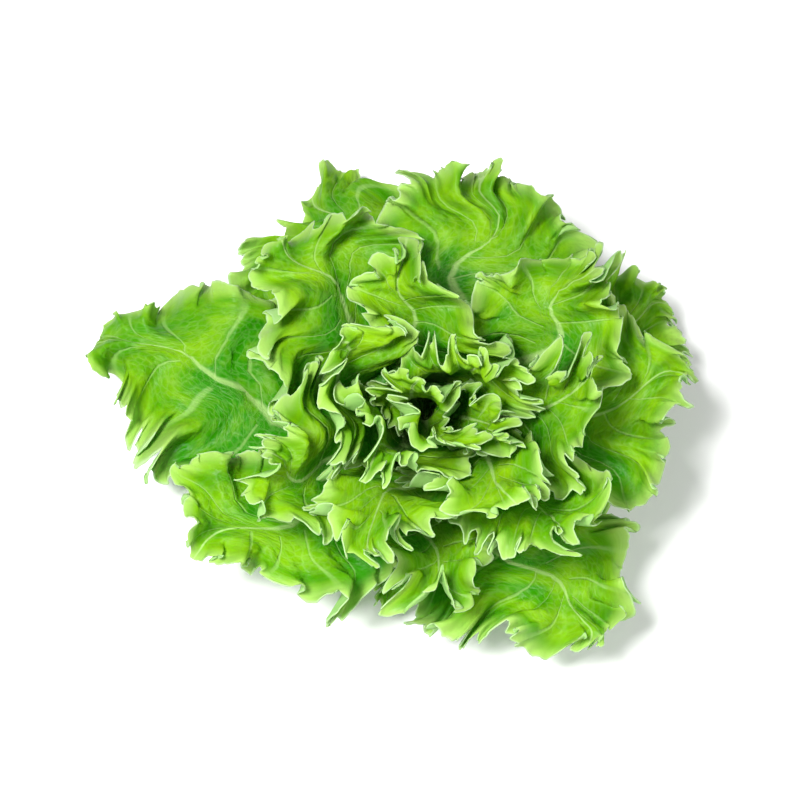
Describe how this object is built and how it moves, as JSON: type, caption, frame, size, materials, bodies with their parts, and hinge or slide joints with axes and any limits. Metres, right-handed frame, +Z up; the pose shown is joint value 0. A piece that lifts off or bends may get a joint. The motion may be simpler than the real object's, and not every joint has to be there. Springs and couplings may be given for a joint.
{
  "type": "leaf lettuce head",
  "caption": "Open head of green leaf lettuce: broad leaves with deeply frilled margins spiral up a short stem that is cut flat across its foot.",
  "frame": {"origin": "centre of the flat cut face across the stem's foot, where the head stands", "axes": "+Z up the stem towards the heart; -Y towards the side the picture is taken from; +X to the right in the picture"},
  "size_m": [0.3006, 0.2807, 0.1368],
  "materials": {
    "outer_leaf": "fresh green leaf, satin, lets light through",
    "inner_leaf": "young yellow-green leaf, satin, lets light through",
    "cut_stem": "pale moist cut stem"
  },
  "bodies": {
    "root": {"stem": "cut_stem", "leaf_01": "outer_leaf", "leaf_02": "outer_leaf", "leaf_03": "outer_leaf", "leaf_04": "outer_leaf", "leaf_05": "outer_leaf", "leaf_06": "outer_leaf", "leaf_07": "outer_leaf", "leaf_08": "outer_leaf", "leaf_09": "outer_leaf", "leaf_10": "outer_leaf", "leaf_11": "outer_leaf", "leaf_12": "outer_leaf", "leaf_13": "outer_leaf", "leaf_14": "inner_leaf", "leaf_15": "inner_leaf", "leaf_16": "inner_leaf", "leaf_17": "inner_leaf", "leaf_18": "inner_leaf", "leaf_19": "inner_leaf", "leaf_20": "inner_leaf", "leaf_21": "inner_leaf", "leaf_22": "inner_leaf", "leaf_23": "inner_leaf", "leaf_24": "inner_leaf"}
  },
  "joints": []
}
